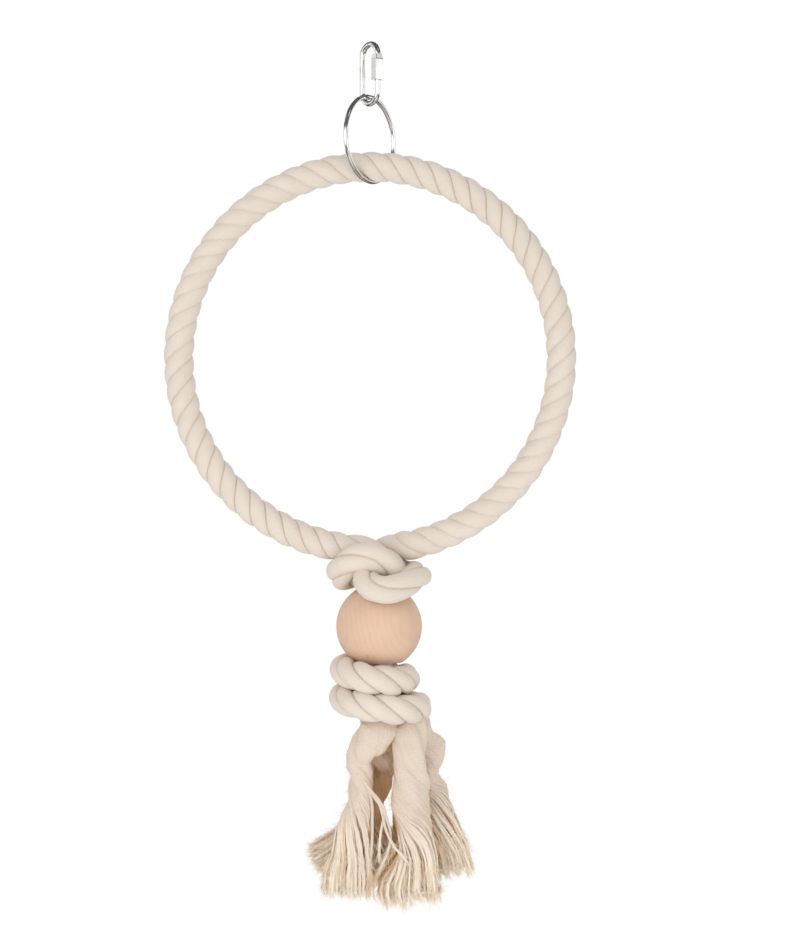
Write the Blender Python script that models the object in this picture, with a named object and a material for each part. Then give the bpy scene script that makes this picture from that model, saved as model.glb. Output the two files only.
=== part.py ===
"""Rope ring bird swing.

A laid cotton rope, stiffened by a wire, is bent into a hoop. Its two ends are knotted together below
the hoop, pass through a turned wooden ball, are knotted again and hang down frayed. A steel ring round
the top of the rope hangs in a quick link, which closes on a cage bar with a sleeve nut.

Units are metres and degrees, +Z is up. The origin is where the cage bar bears, inside the top of the
quick link. X runs across the hoop and -Y is its front.
"""

import math

import bmesh
import bpy
from mathutils import Matrix, Vector

MM = 0.001

# Clearance that pieces keep where they bear on each other.
SEAT_GAP = 0.3 * MM

# Quick link: a bent rod, open at one leg, closed by a sleeve nut.
LINK_ROD_DIAMETER = 3.5 * MM
LINK_LENGTH = 38.0 * MM
LINK_INNER_WIDTH = 10.0 * MM
LINK_STUB = 1.5 * MM
LINK_MOUTH = 5.0 * MM
LINK_TURN = -48.0
NUT_LENGTH = 15.0 * MM
NUT_ACROSS_FLATS = 7.0 * MM
NUT_TAPER_LENGTH = 3.0 * MM
NUT_TAPER_END = 5.2 * MM
NUT_CHAMFER = 0.5 * MM
NUT_CLEARANCE = 0.25 * MM

# Welded steel ring between the quick link and the rope.
HANG_RING_WIRE = 3.0 * MM
HANG_RING_INNER_DIAMETER = 46.0 * MM
HANG_RING_TURN = 56.0

# Rope hoop, and the wire inside it.
ROPE_DIAMETER = 17.5 * MM
HOOP_MEAN_DIAMETER = 223.2 * MM
HOOP_END_OFFSET = 24.0 * MM
NIP_DEPTH = 2.0 * MM
NIP_HALF_LENGTH = 11.0 * MM
CORE_WIRE_DIAMETER = 3.0 * MM
CORE_WIRE_CLEARANCE = 0.4 * MM
CORE_WIRE_SETBACK = 2.0 * MM

# Wooden ball and the two rope legs that pass through it, one behind the other.
BALL_DIAMETER = 50.0 * MM
BALL_BORE = 28.0 * MM
BALL_MOUTH_ROUND = 1.2 * MM
BALL_OFFSET = 5.2 * MM
LEG_CLEARANCE = 0.4 * MM

# Upper knot: the rope is drawn tight, so it is thinner than in the hoop.
KNOT_ROPE_DIAMETER = 14.5 * MM
KNOT_HALF_WIDTH = 22.4 * MM

# Lower knot: the rope wraps twice round the two legs.
WRAP_ROPE_DIAMETER = 16.6 * MM
WRAP_PITCH = 17.3 * MM
WRAP_LEG_GAP = 0.7 * MM
WRAP_TOP_HALF_WIDTH = 18.8 * MM
WRAP_BOTTOM_HALF_WIDTH = 21.8 * MM
WRAP_TOP_OFFSET = 2.9 * MM
WRAP_BOTTOM_OFFSET = 5.8 * MM
WRAP_START = 150.0
WRAP_END = 775.0
WRAP_FRONT_DROP = 0.2

# Frayed tails: the foot of each tail is TAIL_LENGTH or less below the lower knot. Each is narrowest at
# the waist, this share of its way down, where its strand is still twisted.
TAIL_LENGTH = 108.0 * MM
TAIL_TOP_HALF_DEPTH = 6.6 * MM
TAIL_FOOT_HALF_DEPTH = 8.6 * MM
TAIL_WAIST = 0.375

# Facets.
ROPE_SIDES = 12
HOOP_STEPS = 60
WIRE_SIDES = 8
BALL_STEPS = 36
BALL_PROFILE_STEPS = 14
LOOP_STEPS = 24
TAIL_SIDES = 12
TAIL_STEPS = 8

# Route of the hoop's left end through the upper knot: over the front, then down into the front leg.
# X in half widths of the knot from the ball's axis, Y in knot depths, Z in knot rope diameters from
# the foot of the hoop.
LEFT_ROUTE = [
    (-0.78, -0.38, -0.14),
    (-0.32, -0.62, -0.28),
    (0.06, -0.55, -0.66),
]

# Route of the hoop's right end, in the same measures: behind the left end, round the left side, across
# the front above the ball, round the right side and in at the back.
RIGHT_ROUTE = [
    (0.28, 0.24, -0.02),
    (-0.20, 0.50, -0.06),
    (-0.66, 0.62, -0.52),
    (-1.00, 0.10, -1.10),
    (-0.72, -0.74, -1.34),
    (0.00, -1.12, -1.52),
    (0.72, -0.74, -1.38),
    (1.00, 0.02, -1.00),
    (0.70, 0.78, -0.92),
    (0.16, 1.02, -0.96),
]

# Each frayed tail: its middle and half width at the knot, at the waist and at the foot, and its share of
# TAIL_LENGTH. X and half widths in half widths of the lower knot from its middle, Y in its depth.
TAILS = {
    "tail_front_left": ((-0.15, -0.53, 0.47), (-0.47, -0.58, 0.32), (-0.79, -0.66, 0.72), 0.93),
    "tail_front_right": ((0.78, -0.49, 0.43), (0.80, -0.62, 0.44), (0.77, -0.69, 0.75), 1.00),
    "tail_side_right": ((1.27, 0.20, 0.29), (1.39, 0.20, 0.28), (1.95, 0.29, 0.49), 0.82),
    "tail_back_right": ((0.65, 0.53, 0.30), (0.72, 0.64, 0.31), (0.97, 0.77, 0.50), 0.88),
    "tail_back_middle": ((0.01, 0.44, 0.30), (-0.04, 0.53, 0.28), (-0.11, 0.64, 0.53), 0.85),
    "tail_back_left": ((-0.57, 0.18, 0.26), (-0.59, 0.22, 0.27), (-1.41, 0.24, 0.45), 0.80),
}

# Sizes that follow from the ones above.
LINK_ROD_RADIUS = LINK_ROD_DIAMETER / 2
LINK_BEND_RADIUS = (LINK_INNER_WIDTH + LINK_ROD_DIAMETER) / 2
LINK_TOP_BEND_Z = LINK_ROD_RADIUS - LINK_BEND_RADIUS
LINK_FOOT_BEND_Z = LINK_TOP_BEND_Z - (LINK_LENGTH - LINK_ROD_DIAMETER - 2 * LINK_BEND_RADIUS)
LINK_FOOT_INNER_Z = LINK_FOOT_BEND_Z - LINK_INNER_WIDTH / 2
LINK_FOOT_ROD_Z = LINK_FOOT_BEND_Z - LINK_BEND_RADIUS

HANG_RING_WIRE_RADIUS = HANG_RING_WIRE / 2
HANG_RING_MEAN_RADIUS = (HANG_RING_INNER_DIAMETER + HANG_RING_WIRE) / 2
HANG_RING_Z = LINK_FOOT_INNER_Z + SEAT_GAP + HANG_RING_WIRE_RADIUS - HANG_RING_MEAN_RADIUS
HANG_RING_SEAT_Z = HANG_RING_Z - HANG_RING_INNER_DIAMETER / 2

ROPE_RADIUS = ROPE_DIAMETER / 2
HOOP_RADIUS = HOOP_MEAN_DIAMETER / 2
HOOP_TOP_Z = HANG_RING_SEAT_Z + SEAT_GAP + ROPE_RADIUS - NIP_DEPTH
HOOP_Z = HOOP_TOP_Z - HOOP_RADIUS
HOOP_FOOT_Z = HOOP_Z - HOOP_RADIUS
HOOP_END_ANGLE = math.asin(HOOP_END_OFFSET / HOOP_RADIUS)

BALL_RADIUS = BALL_DIAMETER / 2
BALL_BORE_RADIUS = BALL_BORE / 2
LEG_DIAMETER = (BALL_BORE - 2 * LEG_CLEARANCE - LEG_CLEARANCE) / 2
LEG_RADIUS = LEG_DIAMETER / 2
LEG_DEPTH = LEG_RADIUS + LEG_CLEARANCE / 2
LEG_REACH = LEG_DEPTH + LEG_RADIUS

KNOT_RADIUS = KNOT_ROPE_DIAMETER / 2
KNOT_DEPTH = LEG_REACH + SEAT_GAP + KNOT_RADIUS
WRAP_RADIUS = WRAP_ROPE_DIAMETER / 2
WRAP_DEPTH = LEG_REACH + WRAP_LEG_GAP + WRAP_RADIUS


def clear_scene():
    for item in list(bpy.data.objects):
        bpy.data.objects.remove(item, do_unlink=True)


def finish(name, color, roughness, metallic=0.0):
    """A plain surface: colour as linear RGB."""
    material = bpy.data.materials.new(name)
    material.use_nodes = True
    shader = material.node_tree.nodes["Principled BSDF"]
    shader.inputs["Base Color"].default_value = (*color, 1.0)
    shader.inputs["Roughness"].default_value = roughness
    shader.inputs["Metallic"].default_value = metallic
    return material


def add_object(name, data, material, parent=None):
    item = bpy.data.objects.new(name, data)
    bpy.context.scene.collection.objects.link(item)
    data.materials.append(material)
    if parent is not None:
        item.parent = parent
        item.matrix_parent_inverse = parent.matrix_world.inverted()
    return item


def pivot(name, place, parent=None):
    """An empty on a joint's axis, which carries the pieces that move there."""
    item = bpy.data.objects.new(name, None)
    bpy.context.scene.collection.objects.link(item)
    item.location = place
    bpy.context.view_layer.update()
    if parent is not None:
        item.parent = parent
        item.matrix_parent_inverse = parent.matrix_world.inverted()
    return item


def ease(share):
    """0 to 1 with level ends."""
    share = min(1.0, max(0.0, share))
    return share * share * (3 - 2 * share)


def smooth_route(points, steps):
    """Points on a Catmull-Rom curve through the given ones, spaced by chord length."""
    ends = [2 * points[0] - points[1], *points, 2 * points[-1] - points[-2]]
    line = []
    for before, start, end, after in zip(ends, ends[1:], ends[2:], ends[3:]):
        chord = (end - start).length
        leave = (end - before) * (chord / ((end - start).length + (start - before).length))
        arrive = (after - start) * (chord / ((after - end).length + chord))
        for step in range(steps):
            t = step / steps
            line.append(
                start * (2 * t**3 - 3 * t**2 + 1)
                + leave * (t**3 - 2 * t**2 + t)
                + end * (3 * t**2 - 2 * t**3)
                + arrive * (t**3 - t**2)
            )
    return [*line, points[-1].copy()]


def tube(points, radii, sides):
    """A curve with a round bevel and filled ends: its radius may change along it."""
    curve = bpy.data.curves.new("tube", "CURVE")
    curve.dimensions = "3D"
    curve.bevel_depth = 1.0
    curve.bevel_resolution = (sides - 4) // 2
    curve.use_fill_caps = True
    spline = curve.splines.new("POLY")
    spline.points.add(len(points) - 1)
    for place, point, radius in zip(spline.points, points, radii):
        place.co = (*point, 1.0)
        place.radius = radius
    return curve


def mesh_of(curve):
    """The tube's own mesh, for pieces that are cut afterwards."""
    helper = bpy.data.objects.new("helper", curve)
    bpy.context.scene.collection.objects.link(helper)
    mesh = bpy.data.meshes.new_from_object(helper.evaluated_get(bpy.context.evaluated_depsgraph_get()))
    bpy.data.objects.remove(helper, do_unlink=True)
    return mesh


def cut(item, cutter_mesh):
    """Cuts a hidden shape out of a piece."""
    cutter = bpy.data.objects.new(item.name + "_cutter", cutter_mesh)
    bpy.context.scene.collection.objects.link(cutter)
    cutter.parent = item.parent
    cutter.matrix_parent_inverse = item.matrix_parent_inverse.copy()
    cutter.matrix_basis = item.matrix_basis.copy()
    cutter.hide_render = True
    cutter.display_type = "WIRE"
    boolean = item.modifiers.new("bore", "BOOLEAN")
    boolean.operation = "DIFFERENCE"
    boolean.object = cutter


def least_gap(points, radius):
    """The narrowest gap between the turns of one tube: points nearer than a turn along it don't count."""
    along = [0.0]
    for start, end in zip(points, points[1:]):
        along.append(along[-1] + (end - start).length)
    turn = 2 * math.pi * radius
    gaps = [
        (points[i] - points[j]).length - 2 * radius
        for i in range(len(points))
        for j in range(i)
        if along[i] - along[j] > turn
    ]
    return min(gaps)


def arc(centre, radius, start, end, steps):
    """Points on an arc in the XZ plane, from one angle to another in degrees."""
    angles = [math.radians(start + (end - start) * step / steps) for step in range(steps + 1)]
    return [centre + Vector((radius * math.cos(a), 0, radius * math.sin(a))) for a in angles]


def link_rod_points():
    """From the stub at the mouth, over the top, down the long leg, round the foot and up to the mouth."""
    top, foot = Vector((0, 0, LINK_TOP_BEND_Z)), Vector((0, 0, LINK_FOOT_BEND_Z))
    side = Vector((LINK_BEND_RADIUS, 0, 0))
    mouth_top = top + side + Vector((0, 0, -LINK_STUB))
    mouth_foot = mouth_top + Vector((0, 0, -LINK_MOUTH))
    bend_steps = 14
    return [
        mouth_top,
        *arc(top, LINK_BEND_RADIUS, 0, 180, bend_steps),
        *arc(foot, LINK_BEND_RADIUS, 180, 360, bend_steps),
        mouth_foot,
    ]


def hexagon(across, z):
    """Corners of a level hexagon, by its width across flats."""
    radius = across / math.sqrt(3)
    return [
        Vector((radius * math.cos(math.radians(60 * i)), radius * math.sin(math.radians(60 * i)), z))
        for i in range(6)
    ]


def loft(rings):
    """A closed mesh through rings of equally many points, with flat ends."""
    shape = bmesh.new()
    loops = [[shape.verts.new(point) for point in ring] for ring in rings]
    for lower, upper in zip(loops, loops[1:]):
        for i in range(len(lower)):
            j = (i + 1) % len(lower)
            shape.faces.new((lower[i], lower[j], upper[j], upper[i]))
    shape.faces.new(loops[0][::-1])
    shape.faces.new(loops[-1])
    bmesh.ops.recalc_face_normals(shape, faces=shape.faces)
    mesh = bpy.data.meshes.new("loft")
    shape.to_mesh(mesh)
    shape.free()
    return mesh


def cylinder(radius, low, high, sides):
    return loft(
        [
            [
                Vector((radius * math.cos(a), radius * math.sin(a), z))
                for a in (2 * math.pi * i / sides for i in range(sides))
            ]
            for z in (low, high)
        ]
    )


def smooth(item, angle=40.0):
    item.data.shade_smooth()
    item.data.set_sharp_from_angle(angle=math.radians(angle))


def build_quick_link(steel):
    """The bent rod, turned about the vertical, and its sleeve nut on the leg towards the front."""
    turn = Matrix.Rotation(math.radians(LINK_TURN), 4, "Z")
    points = [turn @ point for point in link_rod_points()]
    add_object("quick_link_rod", tube(points, [LINK_ROD_RADIUS] * len(points), ROPE_SIDES), steel)

    leg = turn @ Vector((LINK_BEND_RADIUS, 0, LINK_TOP_BEND_Z))
    nut_pivot = pivot("nut_pivot", leg)
    rings = [
        hexagon(NUT_ACROSS_FLATS - 2 * NUT_CHAMFER, -NUT_LENGTH),
        hexagon(NUT_ACROSS_FLATS, -NUT_LENGTH + NUT_CHAMFER),
        hexagon(NUT_ACROSS_FLATS, -NUT_TAPER_LENGTH),
        hexagon(NUT_TAPER_END, 0.0),
    ]
    nut = add_object("quick_link_nut", loft(rings), steel)
    nut.parent = nut_pivot
    nut.rotation_euler.z = math.radians(LINK_TURN)
    bore_radius = LINK_ROD_RADIUS + NUT_CLEARANCE
    bore_sides = 20
    cut(nut, cylinder(bore_radius, -1.5 * NUT_LENGTH, 0.5 * NUT_LENGTH, bore_sides))


def build_hang_ring(steel, swing_pivot):
    """The welded ring, standing upright in the foot of the link."""
    turn = Matrix.Rotation(math.radians(HANG_RING_TURN), 4, "Z")
    centre = Vector((0, 0, HANG_RING_Z))
    steps = 40
    points = [turn @ point + centre for point in arc(Vector(), HANG_RING_MEAN_RADIUS, 90, 450, steps)[:-1]]
    curve = tube(points, [HANG_RING_WIRE_RADIUS] * len(points), 10)
    curve.splines[0].use_cyclic_u = True
    add_object("hanging_ring", curve, steel, swing_pivot)


def hoop_angles(setback=0.0):
    """Angles round the hoop in radians, from its right end over the top to its left end.

    The first and last steps are short, so that the ends are cut square to the rope.
    """
    inset = HOOP_END_ANGLE + setback / HOOP_RADIUS
    start, end = -math.pi / 2 + inset, 3 * math.pi / 2 - inset
    square = math.radians(0.4)
    even = [start + (end - start) * step / HOOP_STEPS for step in range(1, HOOP_STEPS)]
    return [start, start + square, *even, end - square, end]


def hoop_point(angle, radius=HOOP_RADIUS):
    return Vector((radius * math.cos(angle), 0, HOOP_Z + radius * math.sin(angle)))


def build_hoop(cotton, steel, hoop_pivot):
    """The rope hoop with a bore for its wire. The rope is nipped where the ring bears on it."""
    nip_angle = NIP_HALF_LENGTH / HOOP_RADIUS
    nip_steps = 4
    nip = [math.pi / 2 + nip_angle * step / nip_steps for step in range(-nip_steps, nip_steps + 1)]
    angles = sorted([a for a in hoop_angles() if abs(a - math.pi / 2) > nip_angle * 1.2] + nip)
    radii = [
        ROPE_RADIUS - NIP_DEPTH * (1 - ease(abs(a - math.pi / 2) / nip_angle)) for a in angles
    ]
    points = [hoop_point(a) for a in angles]
    hoop = add_object("rope_hoop", mesh_of(tube(points, radii, ROPE_SIDES)), cotton, hoop_pivot)
    smooth(hoop)

    bore_radius = CORE_WIRE_DIAMETER / 2 + CORE_WIRE_CLEARANCE
    past_end = -ROPE_DIAMETER
    bore = [hoop_point(a) for a in hoop_angles(past_end)]
    cut(hoop, mesh_of(tube(bore, [bore_radius] * len(bore), WIRE_SIDES)))

    wire = [hoop_point(a) for a in hoop_angles(CORE_WIRE_SETBACK)]
    add_object("core_wire", tube(wire, [CORE_WIRE_DIAMETER / 2] * len(wire), WIRE_SIDES), steel, hoop_pivot)


def knot_point(across, depth, height):
    """A point of the upper knot from its route's measures."""
    return Vector(
        (
            BALL_OFFSET + across * KNOT_HALF_WIDTH,
            depth * KNOT_DEPTH,
            HOOP_FOOT_Z + height * KNOT_ROPE_DIAMETER,
        )
    )


def knot_route(side, route, tail=()):
    """From a hoop end through the knot: the rope starts square to the end, SEAT_GAP away from it."""
    angle = side * HOOP_END_ANGLE - math.pi / 2
    onward = Vector((math.sin(angle), 0, -math.cos(angle))) * side
    start = hoop_point(angle) + onward * SEAT_GAP
    lead = [start + onward * (ROPE_DIAMETER * part) for part in (0.0, 0.15, 0.3)]
    steps = 5
    line = smooth_route([*lead, *(knot_point(*place) for place in route), *tail], steps)
    drawn = [
        KNOT_RADIUS + (ROPE_RADIUS - KNOT_RADIUS) * (1 - ease((point - start).length / ROPE_DIAMETER))
        for point in line
    ]
    return line, drawn


def leg_point(depth, z):
    return Vector((BALL_OFFSET, depth, z))


def ball_height(line, radii):
    """Height of the ball's centre when the rope of the upper knot sits on it."""
    heights = []
    for point, radius in zip(line, radii):
        reach = BALL_RADIUS + radius + SEAT_GAP
        away = math.hypot(point.x - BALL_OFFSET, point.y)
        if away < reach:
            heights.append(point.z - math.sqrt(reach**2 - away**2))
    return min(heights)


def build_upper_knot(cotton, hoop_pivot):
    """The two hoop ends, each one tube. Returns the heights of the ball and of the front leg's top."""
    right_line, right_radii = knot_route(1, RIGHT_ROUTE)
    ball_z = ball_height(right_line, right_radii)
    leg_top = ball_z + math.sqrt(BALL_RADIUS**2 - BALL_BORE_RADIUS**2)
    leg_lead = [leg_point(-LEG_DEPTH, leg_top + LEG_RADIUS * part) for part in (1.0, 0.5, 0.0)]
    left_line, left_radii = knot_route(-1, LEFT_ROUTE, leg_lead)
    bend = len(left_line) // 2
    left_radii = [
        min(radius, KNOT_RADIUS + (LEG_RADIUS - KNOT_RADIUS) * ease((i - bend) / (len(left_line) - 1 - bend)))
        if i > bend
        else radius
        for i, radius in enumerate(left_radii)
    ]
    add_object("upper_knot_left_rope", tube(left_line, left_radii, ROPE_SIDES), cotton, hoop_pivot)
    add_object("upper_knot_right_rope", tube(right_line, right_radii, ROPE_SIDES), cotton, hoop_pivot)
    return ball_z, leg_top


def build_ball(wood, ball_z, hoop_pivot):
    """A turned ball with a straight bore, its mouths slightly rounded."""
    mouth = math.sqrt(BALL_RADIUS**2 - (BALL_BORE_RADIUS + BALL_MOUTH_ROUND) ** 2)
    tilt = math.asin(mouth / BALL_RADIUS)
    outside = [
        (BALL_RADIUS * math.cos(a), BALL_RADIUS * math.sin(a))
        for a in (tilt - 2 * tilt * step / BALL_PROFILE_STEPS for step in range(BALL_PROFILE_STEPS + 1))
    ]
    inner = mouth - BALL_MOUTH_ROUND
    profile = [(BALL_BORE_RADIUS, inner), *outside, (BALL_BORE_RADIUS, -inner)]

    shape = bmesh.new()
    verts = [shape.verts.new((radius, 0, z)) for radius, z in profile]
    edges = [shape.edges.new(pair) for pair in zip(verts, [*verts[1:], verts[0]])]
    bmesh.ops.spin(
        shape,
        geom=verts + edges,
        axis=(0, 0, 1),
        cent=(0, 0, 0),
        angle=2 * math.pi,
        steps=BALL_STEPS,
        use_merge=True,
    )
    bmesh.ops.remove_doubles(shape, verts=shape.verts, dist=1e-6)
    bmesh.ops.recalc_face_normals(shape, faces=shape.faces)
    mesh = bpy.data.meshes.new("ball")
    shape.to_mesh(mesh)
    shape.free()
    ball_pivot = pivot("ball_pivot", (BALL_OFFSET, 0, ball_z), hoop_pivot)
    ball = add_object("wooden_ball", mesh, wood)
    ball.parent = ball_pivot
    smooth(ball)


def wrap_line(ball_z):
    """Centre line of the lower knot's two wraps, hung so that they just clear the ball.

    Each turn drops by WRAP_FRONT_DROP of the pitch across the front and by the rest across the back.
    """
    steps = round(LOOP_STEPS * (WRAP_END - WRAP_START) / 360)
    line = []
    for step in range(steps + 1):
        angle = WRAP_START + (WRAP_END - WRAP_START) * step / steps
        turns, part = divmod(angle - 180, 360)
        front = WRAP_FRONT_DROP * min(1.0, part / 180)
        back = (1 - WRAP_FRONT_DROP) * ease((part - 180) / 180)
        down = (turns + front + back) * WRAP_PITCH
        lower = ease((angle - 180) / 360)
        half_width = WRAP_TOP_HALF_WIDTH + (WRAP_BOTTOM_HALF_WIDTH - WRAP_TOP_HALF_WIDTH) * lower
        middle = WRAP_TOP_OFFSET + (WRAP_BOTTOM_OFFSET - WRAP_TOP_OFFSET) * lower
        a = math.radians(angle)
        line.append(Vector((middle + half_width * math.cos(a), WRAP_DEPTH * math.sin(a), -down)))
    reach = BALL_RADIUS + WRAP_RADIUS + SEAT_GAP
    tops = []
    for point in line:
        away = math.hypot(point.x - BALL_OFFSET, point.y)
        if away < reach:
            tops.append(ball_z - math.sqrt(reach**2 - away**2) - point.z)
    return [point + Vector((0, 0, min(tops))) for point in line]


def build_legs(cotton, wraps, leg_top, hoop_pivot):
    """Two straight legs through the ball and the wraps. Returns the height of their feet."""
    foot = min(point.z for point in wraps if point.y < 0) - WRAP_RADIUS
    for name, depth, top in (
        ("ball_leg_front", -LEG_DEPTH, leg_top - SEAT_GAP),
        ("ball_leg_back", LEG_DEPTH, leg_top),
    ):
        line = [leg_point(depth, top), leg_point(depth, (top + foot) / 2), leg_point(depth, foot)]
        add_object(name, tube(line, [LEG_RADIUS] * len(line), ROPE_SIDES), cotton, hoop_pivot)
    return foot


def underside(x, y, wraps, leg_foot):
    """Lowest height of the lower knot above a point, or None where nothing is above it."""
    lows = []
    for depth in (-LEG_DEPTH, LEG_DEPTH):
        if math.hypot(x - BALL_OFFSET, y - depth) < LEG_RADIUS:
            lows.append(leg_foot)
    for start, end in zip(wraps, wraps[1:]):
        for part in (0.0, 0.25, 0.5, 0.75):
            point = start.lerp(end, part)
            away = math.hypot(point.x - x, point.y - y)
            if away < WRAP_RADIUS:
                lows.append(point.z - math.sqrt(WRAP_RADIUS**2 - away**2))
    return min(lows, default=None)


def oval(place, half_depth, z):
    """Points round a level oval. Place: its middle's X and Y, and its half width."""
    angles = [2 * math.pi * i / TAIL_SIDES for i in range(TAIL_SIDES)]
    return [
        Vector((place.x + place.z * math.cos(a), place.y + half_depth * math.sin(a), z)) for a in angles
    ]


def build_tails(cotton, wraps, leg_foot, hoop_pivot):
    """The frayed strands: flat-topped under the knot, drawn in at the waist, spreading to a flat foot."""
    middle = Vector((WRAP_BOTTOM_OFFSET, 0, 0))
    for name, (*places, share) in TAILS.items():
        top, waist, foot = (
            Vector((x * WRAP_BOTTOM_HALF_WIDTH, y * WRAP_DEPTH, half * WRAP_BOTTOM_HALF_WIDTH)) + middle
            for x, y, half in places
        )
        under = [*oval(top, TAIL_TOP_HALF_DEPTH, leg_foot), top]
        above = [underside(point.x, point.y, wraps, leg_foot) for point in under]
        top_z = min(z for z in above if z is not None) - SEAT_GAP
        foot_z = leg_foot - share * TAIL_LENGTH
        rings = []
        for step in range(TAIL_STEPS + 1):
            t = step / TAIL_STEPS
            if t < TAIL_WAIST:
                place = top.lerp(waist, ease(t / TAIL_WAIST))
            else:
                place = waist.lerp(foot, ease((t - TAIL_WAIST) / (1 - TAIL_WAIST)))
            half_depth = TAIL_TOP_HALF_DEPTH + (TAIL_FOOT_HALF_DEPTH - TAIL_TOP_HALF_DEPTH) * t
            rings.append(oval(place, half_depth, top_z + (foot_z - top_z) * t))
        smooth(add_object(name, loft(rings), cotton, hoop_pivot))


def main():
    clear_scene()
    steel = finish("bright_steel", (0.62, 0.61, 0.58), 0.18, 1.0)
    cotton = finish("natural_cotton", (0.76, 0.68, 0.58), 0.9)
    wood = finish("pale_beech", (0.76, 0.54, 0.38), 0.55)

    build_quick_link(steel)
    swing_pivot = pivot("ring_pivot", (0, 0, LINK_FOOT_ROD_Z))
    build_hang_ring(steel, swing_pivot)
    hoop_pivot = pivot("hoop_pivot", (0, 0, HOOP_TOP_Z), swing_pivot)
    build_hoop(cotton, steel, hoop_pivot)
    ball_z, leg_top = build_upper_knot(cotton, hoop_pivot)
    build_ball(wood, ball_z, hoop_pivot)
    wraps = wrap_line(ball_z)
    add_object("lower_knot_wraps", tube(wraps, [WRAP_RADIUS] * len(wraps), ROPE_SIDES), cotton, hoop_pivot)
    print(f"lower knot: least gap between its wraps {least_gap(wraps, WRAP_RADIUS) / MM:.2f} mm")
    leg_foot = build_legs(cotton, wraps, leg_top, hoop_pivot)
    build_tails(cotton, wraps, leg_foot, hoop_pivot)


main()
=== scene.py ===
"""Rope ring bird swing: the dressed model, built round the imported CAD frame."""
import math

import bpy
import numpy as np
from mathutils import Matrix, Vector


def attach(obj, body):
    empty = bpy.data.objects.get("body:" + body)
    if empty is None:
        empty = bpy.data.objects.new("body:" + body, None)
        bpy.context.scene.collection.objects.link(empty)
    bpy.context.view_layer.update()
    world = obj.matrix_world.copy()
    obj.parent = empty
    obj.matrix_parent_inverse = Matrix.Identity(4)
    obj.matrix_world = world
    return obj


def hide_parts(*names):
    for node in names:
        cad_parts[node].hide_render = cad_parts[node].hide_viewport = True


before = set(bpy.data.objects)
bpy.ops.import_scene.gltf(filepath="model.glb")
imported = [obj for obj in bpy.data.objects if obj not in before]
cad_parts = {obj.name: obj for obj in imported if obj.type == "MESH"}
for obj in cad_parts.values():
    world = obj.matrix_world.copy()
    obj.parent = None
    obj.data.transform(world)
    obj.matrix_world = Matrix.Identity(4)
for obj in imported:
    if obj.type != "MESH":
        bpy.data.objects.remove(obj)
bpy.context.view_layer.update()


# Quick link, bent rod.
# A 3.5 mm steel rod bent into a long link with one leg left open. Drawn, cut, bent round a former and
# then plated bright; the cut end above the mouth is threaded for the sleeve nut.
def let_go():
    """Leaves nothing selected."""
    bpy.ops.object.select_all(action="DESELECT")


def take(piece):
    """Leaves only this piece selected, and active."""
    let_go()
    piece.select_set(True)
    bpy.context.view_layer.objects.active = piece


def draw_out(length):
    """Extrudes what is selected straight up by this length."""
    bpy.ops.mesh.extrude_region_move(TRANSFORM_OT_translate={"value": (0, 0, length)})


def close_mesh(sharp):
    """Merges doubles, turns the faces outwards and smooths the edges under this angle in degrees."""
    bpy.ops.mesh.select_all(action="SELECT")
    bpy.ops.mesh.remove_doubles(threshold=1e-6)
    bpy.ops.mesh.normals_make_consistent(inside=False)
    bpy.ops.object.mode_set(mode="OBJECT")
    bpy.ops.object.shade_smooth_by_angle(angle=math.radians(sharp))
    bpy.ops.object.transform_apply()


def settle(piece, place=(0, 0, 0), turn=0.0):
    """Puts a piece in its place, turned about the vertical, and leaves that in its mesh."""
    take(piece)
    piece.location = place
    piece.rotation_euler = (0, 0, turn)
    bpy.ops.object.transform_apply()


class Tone:
    """One socket of a material, so that shading sums are written as sums."""

    def __init__(self, tree, socket=None):
        self.tree = tree
        self.socket = socket

    def node(self, kind, settings=None, sockets=None, out=0):
        """A new node, with its settings set first and then its sockets filled or linked."""
        made = self.tree.nodes.new(kind)
        for name, value in (settings or {}).items():
            setattr(made, name, value)
        for name, value in (sockets or {}).items():
            if isinstance(value, Tone):
                self.tree.links.new(value.socket, made.inputs[name])
            else:
                made.inputs[name].default_value = value
        return Tone(self.tree, made.outputs[out])

    def out(self, name):
        """Another output of the same node."""
        return Tone(self.tree, self.socket.node.outputs[name])

    def maths(self, operation, *terms):
        return self.node("ShaderNodeMath", {"operation": operation}, dict(enumerate(terms)))

    def __add__(self, other):
        return self.maths("ADD", self, other)

    def __rsub__(self, other):
        return self.maths("SUBTRACT", other, self)

    def __mul__(self, other):
        return self.maths("MULTIPLY", self, other)

    __radd__ = __add__
    __rmul__ = __mul__

    def mix(self, first, second):
        """The first colour where this is 0, the second where it is 1."""
        # inputs 6 and 7 and output 2 are a Mix node's colour sockets
        return self.node("ShaderNodeMix", {"data_type": "RGBA"}, {0: self, 6: first, 7: second}, out=2)

    def span(self, low, high):
        """0 up to low, 1 from high, smooth between."""
        return self.node("ShaderNodeMapRange", {"interpolation_type": "SMOOTHSTEP"},
                         {"Value": self, "From Min": low, "From Max": high})


def new_finish(name, **constants):
    """A material, its shader and a first Tone. Constants go straight to the shader's sockets."""
    material = bpy.data.materials.new(name)
    material.use_nodes = True
    shader = material.node_tree.nodes["Principled BSDF"]
    for socket, value in constants.items():
        shader.inputs[socket.replace("_", " ")].default_value = value
    return material, shader, Tone(material.node_tree)


def feed(shader, **sockets):
    """Links what varies over the surface to the shader's sockets."""
    for socket, tone in sockets.items():
        tone.tree.links.new(tone.socket, shader.inputs[socket.replace("_", " ")])


def mottle(place, fineness, detail, roughness=0.5):
    """Noise over a surface, with about this many patches to the metre."""
    return place.node("ShaderNodeTexNoise", None,
                      {"Vector": place, "Scale": fineness, "Detail": detail, "Roughness": roughness})


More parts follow.
